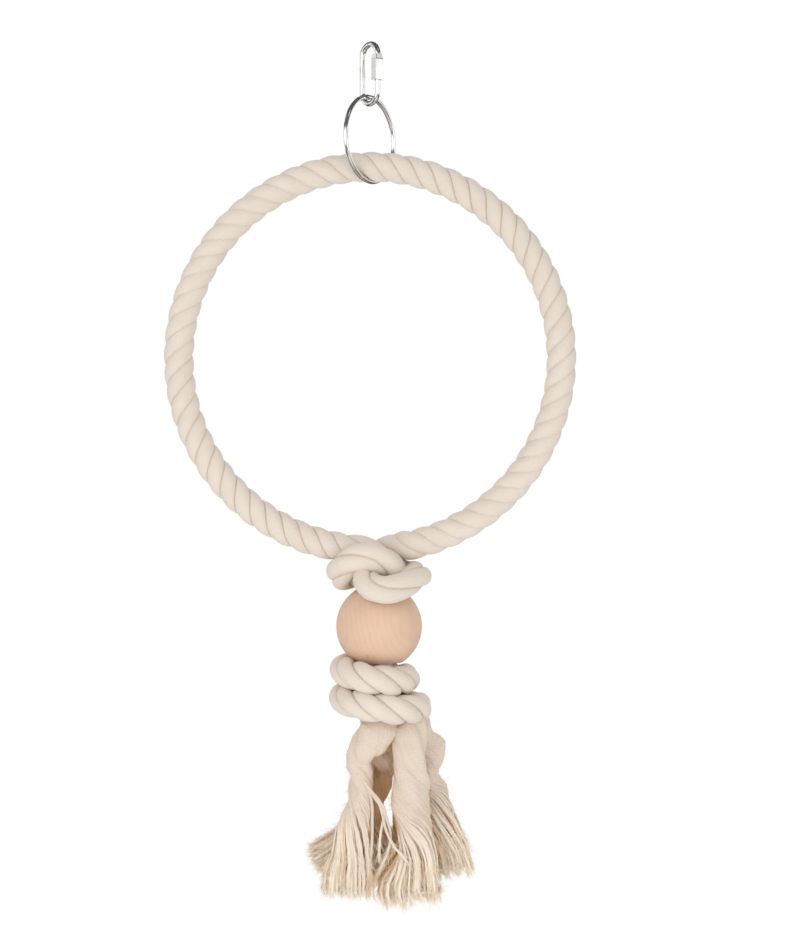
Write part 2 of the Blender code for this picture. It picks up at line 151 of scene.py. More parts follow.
def relief(height, strength, depth):
    """Fine unevenness of the surface, at most this deep in metres."""
    return height.node("ShaderNodeBump", None, {"Height": height, "Strength": strength, "Distance": depth})


def bright_steel(name, grain):
    """Plated steel: bright, with fine drawing marks and a few dull handling spots."""
    bright, handled = (0.80, 0.80, 0.795, 1), (0.66, 0.655, 0.64, 1)
    material, shader, tone = new_finish(name, Metallic=1.0)
    place = tone.node("ShaderNodeTexCoord", out="Object")
    drawn = tone.node("ShaderNodeMapping", None, {"Vector": place, "Scale": grain})
    scratch = mottle(drawn, 900.0, 3.0)
    dull = mottle(place, 130.0, 2.0).span(0.52, 0.75)
    feed(shader,
         Base_Color=dull.mix(bright, handled),
         Roughness=0.10 + 0.12 * dull + 0.10 * scratch,
         Normal=relief(scratch, 0.02, 0.00003))
    return material


link_rod = 0.0035
link_half = 0.00675
link_turn = math.radians(-48)
bend_top, bend_foot = -0.005, -0.026
stub_end, mouth_end = -0.0065, -0.0115
rod_sides, bend_steps = 24, 28
let_go()
bpy.ops.mesh.primitive_circle_add(vertices=rod_sides, radius=link_rod / 2, fill_type="NGON",
                                  location=(link_half, 0, stub_end))
link = bpy.context.object
link.name = "link_rod"
bpy.ops.object.mode_set(mode="EDIT")
bpy.ops.mesh.select_all(action="SELECT")
draw_out(bend_top - stub_end)
bpy.ops.mesh.spin(steps=bend_steps, angle=math.pi, center=(0, 0, bend_top), axis=(0, 1, 0))
draw_out(bend_foot - bend_top)
bpy.ops.mesh.spin(steps=bend_steps, angle=math.pi, center=(0, 0, bend_foot), axis=(0, 1, 0))
draw_out(mouth_end - bend_foot)
close_mesh(sharp=40)
settle(link, turn=link_turn)
link.data.materials.append(bright_steel("link_steel", grain=(1, 1, 0.15)))
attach(link, "link")
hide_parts("quick_link_rod")


# Quick link, sleeve nut.
# A hexagon sleeve nut that runs on the link's threads and shuts its mouth. Turned from hexagon bar,
# coned at its upper end and chamfered at its foot, and plated like the link.
def open_mesh(piece):
    """Goes into the piece's mesh with nothing selected there."""
    take(piece)
    bpy.ops.object.mode_set(mode="EDIT")
    bpy.ops.mesh.select_mode(type="FACE")
    bpy.ops.mesh.select_all(action="DESELECT")


def pick_faces(piece, wanted):
    """Selects the faces for whose normal this holds."""
    bpy.ops.object.mode_set(mode="OBJECT")
    for face in piece.data.polygons:
        face.select = wanted(face.normal)
    bpy.ops.object.mode_set(mode="EDIT")


nut_top, nut_foot = -0.005, -0.020
nut_cone, nut_cone_end = 0.003, 0.0052
nut_flats, nut_chamfer = 0.007, 0.00022
nut_bore, drill_length = 0.0040, 0.03
nut_turn = math.radians(-12)
nut_x, nut_y = link_half * math.cos(link_turn), link_half * math.sin(link_turn)
cone_foot = nut_top - nut_cone
let_go()
bpy.ops.mesh.primitive_cylinder_add(vertices=6, radius=nut_flats / math.sqrt(3), depth=cone_foot - nut_foot,
                                    location=(nut_x, nut_y, (cone_foot + nut_foot) / 2),
                                    rotation=(0, 0, nut_turn))
nut = bpy.context.object
nut.name = "sleeve_nut"
bpy.ops.object.transform_apply(location=True, rotation=True)
open_mesh(nut)
pick_faces(nut, lambda normal: normal.z > 0.9)
draw_out(nut_cone)
bpy.ops.transform.resize(value=(nut_cone_end / nut_flats, nut_cone_end / nut_flats, 1),
                         center_override=(nut_x, nut_y, nut_top))
bpy.ops.mesh.select_all(action="SELECT")
bpy.ops.mesh.bevel(offset=nut_chamfer, segments=2, affect="EDGES")
bpy.ops.object.mode_set(mode="OBJECT")
let_go()
bpy.ops.mesh.primitive_cylinder_add(vertices=48, radius=nut_bore / 2, depth=drill_length,
                                    location=(nut_x, nut_y, nut_foot))
drill = bpy.context.object
take(nut)
bored = nut.modifiers.new("bore", "BOOLEAN")
bored.operation = "DIFFERENCE"
bored.object = drill
bored.solver = "EXACT"
bpy.ops.object.modifier_apply(modifier="bore")
bpy.data.objects.remove(drill)
open_mesh(nut)
close_mesh(sharp=12)
nut.data.materials.append(bright_steel("nut_steel", grain=(1, 1, 0.2)))
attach(nut, "nut")
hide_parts("quick_link_nut")


# Hanging ring.
# A round ring of 3 mm steel wire that joins the link to the rope. Coiled, cut, closed and butt welded;
# the weld leaves a low bead between two slight necks, on the upper half beside the link.
ring_centre = Vector((0, 0, -0.0537))
ring_radius, ring_wire = 0.0245, 0.0015
ring_turn = math.radians(56)
weld = math.radians(118)
bead_half, neck_half = math.radians(2.2), math.radians(5)
bead_rise, neck_share = 0.10, 0.35
let_go()
bpy.ops.mesh.primitive_torus_add(major_segments=144, minor_segments=20, major_radius=ring_radius,
                                 minor_radius=ring_wire, location=(0, 0, 0), rotation=(math.pi / 2, 0, 0))
ring = bpy.context.object
ring.name = "welded_ring"
bpy.ops.object.transform_apply(rotation=True)
for spot in ring.data.vertices:
    angle = math.atan2(spot.co.z, spot.co.x)
    middle = Vector((math.cos(angle), 0, math.sin(angle))) * ring_radius
    bead = math.exp(-((angle - weld) / bead_half) ** 2)
    neck = neck_share * math.exp(-((angle - weld) / neck_half) ** 2)
    spot.co = middle + (spot.co - middle) * (1 + bead_rise * (bead - neck))
settle(ring, ring_centre, ring_turn)
bpy.ops.object.shade_smooth()
ring.data.materials.append(bright_steel("ring_steel", grain=(0.5, 0.5, 0.5)))
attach(ring, "ring")
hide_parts("hanging_ring")


# Core wire.
# A hoop of 3 mm wire inside the rope that keeps it round. It is the CAD's own solid; the rope hides it,
# so it only needs the dull grey of drawn wire.
wire_dark, wire_light = (0.30, 0.29, 0.28, 1), (0.46, 0.45, 0.44, 1)
material, shader, tone = new_finish("drawn_wire", Metallic=1.0)
drawn = mottle(tone.node("ShaderNodeTexCoord", out="Object"), 700.0, 2.0)
feed(shader, Base_Color=drawn.mix(wire_dark, wire_light), Roughness=0.35 + 0.2 * drawn)
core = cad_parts["core_wire"]
core.data.materials.clear()
core.data.materials.append(material)


# Rope, hoop and upper knot.
# One length of three-strand cotton rope, right-hand laid, bent into a hoop over its core wire. Its two
# ends cross behind the knot, come round its sides to the front and dive through it into the ball.
def ease(share):
    """From 0 to 1, smooth at both ends."""
    share = np.clip(share, 0, 1)
    return share * share * (3 - 2 * share)


def run_along(line):
    """The distance along a line at each of its points."""
    return np.concatenate([[0], np.cumsum(np.linalg.norm(np.diff(line, axis=0), axis=1))])


def smooth_line(points, step):
    """A curve through the points, as points a step apart."""
    between = 40
    points = np.array(points, float)
    ends = np.vstack([2 * points[0] - points[1], points, 2 * points[-1] - points[-2]])
    knots = np.concatenate([[0], np.cumsum(np.linalg.norm(np.diff(ends, axis=0), axis=1) ** 0.5)])
    fine = []
    for i in range(1, len(ends) - 2):
        t0, t1, t2, t3 = knots[i - 1:i + 3]
        t = np.linspace(t1, t2, between, endpoint=False)[:, None]
        a1 = (t1 - t) / (t1 - t0) * ends[i - 1] + (t - t0) / (t1 - t0) * ends[i]
        a2 = (t2 - t) / (t2 - t1) * ends[i] + (t - t1) / (t2 - t1) * ends[i + 1]
        a3 = (t3 - t) / (t3 - t2) * ends[i + 1] + (t - t2) / (t3 - t2) * ends[i + 2]
        b1 = (t2 - t) / (t2 - t0) * a1 + (t - t0) / (t2 - t0) * a2
        b2 = (t3 - t) / (t3 - t1) * a2 + (t - t1) / (t3 - t1) * a3
        fine.append((t2 - t) / (t2 - t1) * b1 + (t - t1) / (t2 - t1) * b2)
    fine = np.vstack(fine + [points[-1:]])
    run = run_along(fine)
    even = np.linspace(0, run[-1], max(3, int(run[-1] / step) + 1))
    return np.stack([np.interp(even, run, fine[:, k]) for k in range(3)], 1)


def cross_ways(line):
    """Two directions across a line at each point, which don't twist about it."""
    ahead = np.gradient(line, axis=0)
    ahead /= np.linalg.norm(ahead, axis=1)[:, None]
    side = np.cross(ahead[0], (0.0, 1.0, 0.0))
    if np.linalg.norm(side) < 0.1:
        side = np.cross(ahead[0], (1.0, 0.0, 0.0))
    sides = [side / np.linalg.norm(side)]
    for after in ahead[1:]:
        side = sides[-1] - after * np.dot(sides[-1], after)
        sides.append(side / np.linalg.norm(side))
    sides = np.array(sides)
    return sides, np.cross(ahead, sides)


def new_skin(name, spots, faces, lay, **shares):
    """A piece of these points and faces, with its lay as a UV map and the shares at its points by name."""
    mesh = bpy.data.meshes.new(name)
    mesh.from_pydata(spots.reshape(-1, 3).tolist(), [], faces)
    mesh.uv_layers.new(name="lay").data.foreach_set("uv", np.array(lay).ravel())
    for share, values in shares.items():
        mesh.attributes.new(share, "FLOAT", "POINT").data.foreach_set("value", values.ravel())
    piece = bpy.data.objects.new(name, mesh)
    bpy.context.scene.collection.objects.link(piece)
    take(piece)
    return piece


any_phase = (0, 6.3)
seam_width = 0.14


def strand_hollow(share):
    """How far the skin sinks, 0 to 1, from the crown of a strand (share 0) to its seams (-1 and 1)."""
    strand_out, strand_size = 0.36, 0.64
    round_part, seam_part, seam_edge = 0.75, 0.25, 9
    swing = np.abs(share) * math.pi / 3
    hollow = 1 - strand_out * np.cos(swing) - np.sqrt(strand_size ** 2 - (strand_out * np.sin(swing)) ** 2)
    return round_part * hollow / hollow.max() + seam_part * np.abs(share) ** seam_edge


def laid_rope(name, line, radii, lays, grooves, facing, seed, faint=0.0):
    """Three strands laid right-handed along a line, as one closed skin whose edges follow the strands.

    facing: (from index, index, direction), the first for the whole line. A groove faces that way there,
    and the little turn that it takes is spread from the first index on.
    faint: how far the seams lose their painted shade.
    """
    strands, across, cut_edge = 3, 18, math.radians(75)
    swell_spans, swell_height = (0.009, 0.017, 0.041, 0.09), 0.006
    third = 2 * math.pi / strands
    chance = np.random.default_rng(seed)
    run = run_along(line)
    sides, ups = cross_ways(line)
    lays = np.broadcast_to(lays, len(run))
    turn = np.concatenate([[0], np.cumsum(2 * math.pi * np.diff(run) / lays[1:])])
    for number, (begin, spot, way) in enumerate(facing):
        more = math.atan2(np.dot(way, ups[spot]), np.dot(way, sides[spot])) - turn[spot]
        more = (more + third / 2) % third - third / 2
        turn += more * (ease((np.arange(len(run)) - begin) / (spot - begin)) if number else 1)
    share = np.linspace(-1, 1, across, endpoint=False)
    spots, coords, crowns = [], [], []
    for strand in range(strands):
        swell = sum(chance.uniform(0.3, 1) * np.sin(run / span * 2 * math.pi + chance.uniform(*any_phase))
                    for span in swell_spans) * swell_height
        for place, dip in zip(share, strand_hollow(share)):
            angle = turn + third * (strand + (place + 1) / 2)
            reach = radii * (1 + swell * (1 - dip)) * (1 - grooves * dip)
            outward = np.cos(angle)[:, None] * sides + np.sin(angle)[:, None] * ups
            spots.append(line + reach[:, None] * outward)
            coords.append(np.stack([angle / (2 * math.pi), run], 1))
            crowns.append(np.maximum(1 - abs(place), seam_width * faint * np.ones(len(run))))
    around, rings = strands * across, len(run)
    coords = np.stack(coords, 1)
    wrap = np.concatenate([coords, coords[:, :1] + np.array([1.0, 0.0])], 1)
    faces, lay = [], []
    for i in range(rings - 1):
        for j in range(around):
            k = (j + 1) % around
            faces.append((i * around + j, i * around + k, (i + 1) * around + k, (i + 1) * around + j))
            lay += [wrap[i, j], wrap[i, j + 1], wrap[i + 1, j + 1], wrap[i + 1, j]]
    faces += [tuple(range(around))[::-1], tuple((rings - 1) * around + j for j in range(around))]
    lay += list(coords[0][::-1]) + list(coords[-1])
    piece = new_skin(name, np.stack(spots, 1), faces, lay, crown=np.stack(crowns, 1))
    bpy.ops.object.shade_smooth_by_angle(angle=cut_edge)
    return piece


def lay_of(tone):
    """Turns round the rope or yarn, and metres along it."""
    turns = tone.node("ShaderNodeSeparateXYZ", None, {0: tone.node("ShaderNodeUVMap", {"uv_map": "lay"})})
    return turns, turns.out("Y")


def laid_cotton(name, pale, warm, seam_shade):
    """Undyed cotton: yarns running with the rope over each strand, soft fibre and painted shade in the seams.
    """
    material, shader, tone = new_finish(name, Sheen_Weight=0.12, Sheen_Roughness=0.5, Specular_IOR_Level=0.25)
    turns, along = lay_of(tone)
    crown = tone.node("ShaderNodeAttribute", {"attribute_name": "crown"}, out="Fac")
    place = tone.node("ShaderNodeTexCoord", out="Object")
    wander = mottle(place, 260.0, 1.0)
    fibre = mottle(place, 2600.0, 3.0, 0.7)
    cloud = mottle(place, 75.0, 3.0)
    ridge = 0.5 + 0.5 * tone.maths("SINE", 2 * math.pi * (42.0 * turns + 60.0 * along + 0.5 * wander))
    # body is 0 in the seams, where the seam colour paints the shade of the groove
    body = crown.span(0.0, seam_width)
    colour = (0.55 * cloud + 0.25 * fibre + 0.12 * (1 - ridge)).span(0.25, 0.75).mix(pale, warm)
    feed(shader,
         Base_Color=body.mix(seam_shade, colour),
         Roughness=0.86 + 0.1 * fibre,
         Normal=relief(0.75 * ridge * body + 0.35 * fibre, 0.5, 0.00025))
    return material


def below(route):
    """Points in mm under the foot of the hoop, in the frame."""
    return [(x / 1000, y / 1000, hoop_foot + z / 1000) for x, y, z in route]


def nearest_on(line, point):
    """The index on a line nearest to a point in mm under the foot of the hoop."""
    return int(np.argmin(np.linalg.norm(line - np.array(below([point])[0]), axis=1)))


# the seam colour is painted shade in the grooves between the strands
rope_pale, rope_warm, rope_seam_shade = (0.772, 0.695, 0.615, 1), (0.722, 0.640, 0.556, 1), (0.53, 0.43, 0.335, 1)
rope_radius, hoop_radius = 0.00875, 0.1116
hoop_centre, hoop_foot = -0.18125, -0.29285
hoop_lay, knot_lay = 0.03477, 0.095
rope_step = 0.00125
knot_half, hoop_points = 0.024, 56
start = math.asin(knot_half / hoop_radius)
sweep = np.linspace(-math.pi / 2 - start, -math.pi / 2 + start - 2 * math.pi, hoop_points)
hoop = [(hoop_radius * math.cos(a), 0, hoop_centre + hoop_radius * math.sin(a)) for a in sweep]
left_end = [(-14, -0.5, 0.6), (-5, -0.5, -0.3), (4, 0.5, -4.5), (13, 3, -12), (22, 4.5, -15.5),
            (27.3, -4, -15), (22, -16, -17.8), (9.5, -25, -22.3), (1.5, -23, -21), (-2.5, -13, -15.8),
            (0, -3, -13.5), (4.5, 6, -19), (5.2, 7.2, -27), (5.2, 6.9, -40)]
right_end = [(15, 5.5, 1.2), (4.5, 12.8, -4.6), (-5.5, 15.4, -14.5), (-13.8, 9.5, -16.2), (-17.2, 1, -14.4),
             (-15.6, -8, -9.6), (-8, -14.3, -5), (2, -16, -3.9), (10.8, -14, -7.8), (13.6, -8, -14.5),
             (10, -6.5, -22), (6, -6.9, -29), (5.2, -6.9, -40)]
line = smooth_line(below(left_end)[::-1] + hoop + below(right_end), rope_step)
top = int(np.argmax(line[:, 2]))
run = run_along(line)
# the rope is a little thinner in the knot, and squeezed where it goes into the ball
knot_from, knot_blend, knot_squeeze = 0.006, 0.020, 0.0003
ball_drop, ball_blend, ball_reach, ball_squeeze = 0.023, 0.008, 0.012, 0.0017
past_hoop = np.abs(run - run[top]) - (math.pi - start) * hoop_radius
in_knot = ease((past_hoop - knot_from) / knot_blend)
in_ball = ease((hoop_foot - ball_drop - line[:, 2]) / ball_blend)
in_ball = in_ball * (np.abs(line[:, 1]) < ball_reach) * in_knot
radii = rope_radius - knot_squeeze * in_knot - ball_squeeze * in_ball
# on two stretches of the hoop the grooves are shallower, where the lay was drawn tight, and the painted
# shade in the seams is fainter there: painted light, standing for light that runs along the seams
tight_and_lit_mean, tight_and_lit_range, tight_and_lit_at = 0.66, 0.34, math.radians(147)
open_groove, tight_less, knot_groove, knot_faint = 0.212, 0.045, 0.28, 0.5
round_hoop = np.arctan2(line[:, 2] - hoop_centre, line[:, 0])
tight_and_lit = tight_and_lit_mean + tight_and_lit_range * np.cos(2 * (round_hoop - tight_and_lit_at))
grooves = (open_groove - tight_less * tight_and_lit) * (1 - in_knot) + knot_groove * in_knot
down, front = np.array((0, 0, -1.0)), np.array((0, -1.0, 0))
facing = [(0, top, down),
          (nearest_on(line, (4, 0.5, -4.5)), nearest_on(line, (12, -24, -21)), front),
          (nearest_on(line, (4.5, 12.5, -5)), nearest_on(line, (-0.5, -15.5, -3.8)), front)]
rope = laid_rope("hoop_rope", line, radii, hoop_lay + (knot_lay - hoop_lay) * in_knot, grooves, facing, 3,
                 tight_and_lit + (knot_faint - tight_and_lit) * in_knot)
# the wire of the hanging ring lies in a groove and presses the cotton aside
ring_near, ring_bed = ring_radius + 0.006, ring_wire + 0.0002
ring_way = np.array((math.cos(ring_turn), math.sin(ring_turn), 0.0))
for spot in rope.data.vertices:
    if (spot.co - ring_centre).length < ring_near:
        offset = np.array(spot.co - ring_centre)
        u, w = offset @ ring_way, offset[2]
        nearest = ring_way * u / math.hypot(u, w) * ring_radius
        nearest[2] = w / math.hypot(u, w) * ring_radius
        gap = offset - nearest
        if np.linalg.norm(gap) < ring_bed:
            spot.co = Vector(np.array(ring_centre) + nearest + gap / np.linalg.norm(gap) * ring_bed)
cotton = laid_cotton("rope_cotton", rope_pale, rope_warm, rope_seam_shade)
rope.data.materials.append(cotton)
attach(rope, "swing")
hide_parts("rope_hoop", "upper_knot_left_rope", "upper_knot_right_rope")


# Wooden ball.
# A 50 mm turned beech ball, drilled through for two thicknesses of rope and eased at both mouths. Left
# bare, so the pale grain shows: long fine lines down the sides, with pores and darker flecks.
ball_centre = Vector((0.0052, 0, -0.337533))
ball_radius, bore_radius, mouth_round = 0.025, 0.014, 0.0008
beech_pale, beech_warm = (0.735, 0.526, 0.390, 1), (0.696, 0.475, 0.338, 1)
beech_fleck = (0.625, 0.395, 0.262, 1)
mouth = math.sqrt(ball_radius ** 2 - bore_radius ** 2)


def on_rim(spot):
    """Whether a point of the ball lies on the rim of one of its mouths."""
    return abs(abs(spot.z) - mouth) < 1e-5 and math.hypot(spot.x, spot.y) < bore_radius + 1e-4


let_go()
bpy.ops.mesh.primitive_uv_sphere_add(segments=96, ring_count=64, radius=ball_radius, location=(0, 0, 0))
ball = bpy.context.object
ball.name = "beech_ball"
open_mesh(ball)
for up in (1, -1):
    bpy.ops.mesh.select_all(action="SELECT")
    bpy.ops.mesh.bisect(plane_co=(0, 0, up * mouth), plane_no=(0, 0, up), clear_outer=True)
bpy.ops.mesh.select_mode(type="EDGE")
bpy.ops.mesh.select_all(action="DESELECT")
bpy.ops.mesh.select_non_manifold()
bpy.ops.mesh.bridge_edge_loops()
bpy.ops.mesh.select_all(action="DESELECT")
bpy.ops.object.mode_set(mode="OBJECT")
for edge in ball.data.edges:
    edge.select = all(on_rim(ball.data.vertices[end].co) for end in edge.vertices)
bpy.ops.object.mode_set(mode="EDIT")
bpy.ops.mesh.bevel(offset=mouth_round, segments=5, affect="EDGES")
close_mesh(sharp=50)
settle(ball, ball_centre)
material, shader, tone = new_finish("beech_wood", Specular_IOR_Level=0.35)
place = tone.node("ShaderNodeTexCoord", out="Object")
heart = tone.node("ShaderNodeMapping", None,
                  {"Vector": place, "Location": (-0.021, 0.008, 0.30), "Rotation": (0.12, 0.2, 0.3)})
year_rings = tone.node("ShaderNodeTexWave", {"wave_type": "RINGS", "rings_direction": "Z"},
                       {"Vector": heart, "Scale": 95.0, "Distortion": 3.0,
                        "Detail": 2.0, "Detail Scale": 1.2}, out="Fac")
long_grain = tone.node("ShaderNodeMapping", None, {"Vector": place, "Scale": (1.0, 1.0, 0.08)})
pores = mottle(long_grain, 1500.0, 3.0)
flecks = mottle(long_grain, 420.0, 2.0).span(0.62, 0.75)
blush = mottle(place, 60.0, 2.0)
grain = (0.12 * year_rings + 0.17 * pores + 0.7 * blush).span(0.25, 0.80)
feed(shader,
     Base_Color=(0.55 * flecks).mix(grain.mix(beech_pale, beech_warm), beech_fleck),
     Roughness=0.48 + 0.14 * pores,
     Normal=relief(pores, 0.06, 0.0001))
ball.data.materials.append(material)
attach(ball, "ball")
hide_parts("wooden_ball")


# Rope, ball legs and lower knot.
# Both rope ends come down through the ball. The front one goes straight on to the tails; the back one
# is wound twice round it, each turn pulled down on the last, and tucked away under itself.
leg_lay, leg_groove = 0.036, 0.2
leg_route = [(5.2, -6.9, -26), (5.2, -6.9, -56), (5.5, -4, -69), (6.5, -1, -80), (7, 0, -95)]
leg_heights = [-0.095, -0.088, -0.074, -0.0665, -0.0635]
leg_radii = [0.008, 0.0125, 0.0122, 0.0105, 0.0068]
line = smooth_line(below(leg_route), rope_step)
thick = np.interp(line[:, 2], hoop_foot + np.array(leg_heights), leg_radii)
leg = laid_rope("front_leg_rope", line, thick, leg_lay, leg_groove, [(0, 0, front)], 5)
leg.data.materials.append(cotton)
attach(leg, "swing")
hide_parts("ball_leg_front")
# the turns, in mm and degrees: each drops a third of its pitch in front and the rest at the back, and
# the lower one is wider
wind_from, wind_to, wind_step = 150, 786, 12
wrap_pitch, front_drop, back_drop = 16.4, 0.32, 0.68
front_span, back_from, back_span, wider_from, wider_span = 150, 180, 180, 330, 210
wrap_top, wrap_depth = -70.2, 22.4
upper_middle, upper_half, lower_shift, lower_more = 2.4, 17.6, 3.6, 4.0
wind = []
for degrees in range(wind_from, wind_to, wind_step):
    turns, part = divmod(degrees - 180, 360)
    drop = turns + front_drop * float(ease(part / front_span))
    drop = drop + back_drop * float(ease((part - back_from) / back_span))
    lower = float(ease((degrees - wider_from) / wider_span))
    across = (upper_half + lower_more * lower) * math.cos(math.radians(degrees))
    wind.append((upper_middle + lower_shift * lower + across,
                 wrap_depth * math.sin(math.radians(degrees)), wrap_top - drop * wrap_pitch))
wrap_radius, tucked_radius, wrap_lay, wrap_groove, wrap_faint = 0.0087, 0.0066, 0.0445, 0.30, 0.45
wound = [(5.2, 6.9, -40), (5.2, 7.0, -56), (0, 9.5, -64)] + wind[:-2] + [(10, 6, -97), (6, 2, -101)]
line = smooth_line(below(wound), rope_step)
thick = np.interp(np.linspace(0, 1, len(line)), [0, 0.06, 0.13, 0.95, 1],
                  [tucked_radius, tucked_radius, wrap_radius, wrap_radius, tucked_radius])
knot = laid_rope("lower_knot_rope", line, thick, wrap_lay, wrap_groove,
                 [(0, nearest_on(line, (-3, -22, -73.5)), front)], 8, wrap_faint)
knot.data.materials.append(cotton)
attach(knot, "swing")
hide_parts("lower_knot_wraps", "ball_leg_back")


# Tails.
# Below the lower knot each rope end comes apart into its three strands. Each strand keeps its twist for a
# while, then opens into its yarns, which part into locks and end in loose fibre where they were cut.
def yarn_tubes(name, lines, radii, inner, outward, opened, sides, shade):
    """Thin closed tubes, all with the same number of points, in one mesh.

    The painted shade is 0 outside the tails and 1 deep in. outward: the way out of the tail.
    opened: 0 where the strand is still tight, 1 where its yarns hang loose.
    shade: how much more painted shade a tube's side gets that is turned into the tail.
    """
    turned_from, turned_blend = -0.25, 0.9
    askew = (0.31, 0.93, 0.2)
    many, rings = lines.shape[:2]
    ahead = np.gradient(lines, axis=1)
    ahead /= np.linalg.norm(ahead, axis=2)[..., None]
    side = np.cross(ahead, askew)
    side /= np.linalg.norm(side, axis=2)[..., None]
    up = np.cross(ahead, side)
    ring = (2 * math.pi * np.arange(sides) / sides)[None, None, :, None]
    normals = np.cos(ring) * side[:, :, None] + np.sin(ring) * up[:, :, None]
    spots = lines[:, :, None] + radii[:, :, None, None] * normals
    # painted shade: the side of a tube that is turned into the tail gets more of the dusky colour
    turned_in = -(normals * outward.reshape(many, -1, 1, 3)).sum(-1)
    far_side_shade = np.reshape(shade, (-1, 1, 1)) * ease((turned_in - turned_from) / turned_blend)
    inner = 1 - (1 - inner.reshape(many, -1, 1)) * (1 - far_side_shade)
    opened = np.broadcast_to(np.reshape(opened, (many, -1, 1)), (many, rings, sides))
    first = (np.arange(many) * rings * sides)[:, None]
    i = np.arange(rings - 1)[None, :, None] * sides
    j = np.arange(sides)[None, None, :]
    k = (j + 1) % sides
    corners = (i + j, i + k, i + sides + k, i + sides + j)
    walls = np.stack([first[..., None] + corner for corner in corners], -1).reshape(-1, 4)
    starts = first + np.arange(sides)[::-1]
    tips = first + (rings - 1) * sides + np.arange(sides)
    steps = np.linalg.norm(np.diff(lines, axis=1), axis=2)
    run = np.concatenate([np.zeros((many, 1)), np.cumsum(steps, axis=1)], 1)
    begin = np.random.default_rng(many).uniform(0, 1, (many, 1, 1, 1))
    turns = np.stack([j, j + 1, j + 1, j], -1) / sides + begin
    along = np.stack([run[:, :-1], run[:, :-1], run[:, 1:], run[:, 1:]], -1)[:, :, None, :]
    lay = np.stack(np.broadcast_arrays(turns, along), -1).reshape(-1, 2)
    lay = np.concatenate([lay, np.zeros((2 * many * sides, 2))])
    faces = walls.tolist() + starts.tolist() + tips.tolist()
    piece = new_skin(name, spots, faces, lay, inner=inner, opened=opened)
    if sides > 3:
        bpy.ops.object.shade_smooth()
    return piece


def unevenness(spots, size, seed):
    """A gentle, repeatable shift of points: neighbours move alike."""
    waves, shortest, longest = 9, 0.008, 0.020
    chance = np.random.default_rng(seed)
    moved = np.zeros(spots.shape)
    for _ in range(waves):
        way = chance.normal(0, 1, 3)
        way *= 2 * math.pi / chance.uniform(shortest, longest) / np.linalg.norm(way)
        moved += np.sin(spots @ way + chance.uniform(*any_phase))[..., None] * chance.normal(0, 1, 3)
    return moved * size / 4


def bundle_outline(tails):
    """Levels and directions, and how far the bundle of all the tails reaches at each, in mm."""
    nowhere = -1e3
    levels = np.arange(-387.0, -502.0, -2.0)
    around = np.linspace(0, 2 * math.pi, 36, endpoint=False)
    ways = np.stack([np.cos(around), np.sin(around)], 1)
    reach = np.full((len(levels), len(ways)), nowhere)
    for *_, stations in tails.values():
        x, y, z, wide, deep, *_ = np.array(stations, float).T
        x, y, wide, deep = (np.interp(-levels, -z, column)[:, None] for column in (x, y, wide, deep))
        here = x * ways[:, 0] + y * ways[:, 1] + np.hypot(wide * ways[:, 0], deep * ways[:, 1])
        reach = np.maximum(reach, np.where((levels < z[-1])[:, None], nowhere, here))
    return levels, ways, reach


def cover_over(x, y, z, turn, bundle):
    """How much of the bundle lies over a yarn at each of its points, on the side it faces, in mm."""
    least, far_off = 0.05, 1e3
    levels, ways, reach = bundle
    facing = ways[:, :1] * np.cos(turn) + ways[:, 1:] * np.sin(turn)
    room = reach[np.clip(np.searchsorted(-levels, -z), 0, len(levels) - 1)].T
    room = room - ways[:, :1] * x - ways[:, 1:] * y
    return np.where(facing > least, room / np.maximum(facing, least), far_off).min(0)


def strand_course(stations):
    """Even shares of a tail's length, its stations there, smoothed, and the way it falls in front view."""
    shares, blur_steps = 240, 13
    stations = np.array(stations, float)
    lengths = np.linalg.norm(np.diff(stations[:, :3], axis=0), axis=1)
    place = np.concatenate([[0], np.cumsum(lengths)]) / lengths.sum()
    whole = np.linspace(0, 1, shares)
    blur = np.hanning(blur_steps) / np.hanning(blur_steps).sum()
    course = []
    for column in stations.T:
        padded = np.pad(np.interp(whole, place, column), blur_steps // 2, mode="reflect", reflect_type="odd")
        course.append(np.convolve(padded, blur, mode="valid"))
    course = np.array(course)
    fall = np.gradient(course[[0, 2]], axis=1)
    return whole, course, fall / np.linalg.norm(fall, axis=0)


def turn_between(angle, other):
    """The turn from the other angle to this one, half a turn at most either way."""
    return (angle - other + math.pi) % (2 * math.pi) - math.pi


def loose_sway(reach, chance):
    """The sideways sway of a loose yarn in mm: one long bend, and a finer one on it."""
    sway = 0
    for waves, height in (((5, 11), (0.2, 1.1)), ((18, 34), (0.05, 0.25))):
        wave = np.sin(reach * chance.uniform(*waves) + chance.uniform(*any_phase))
        sway = sway + wave * chance.uniform(*height)
    return sway


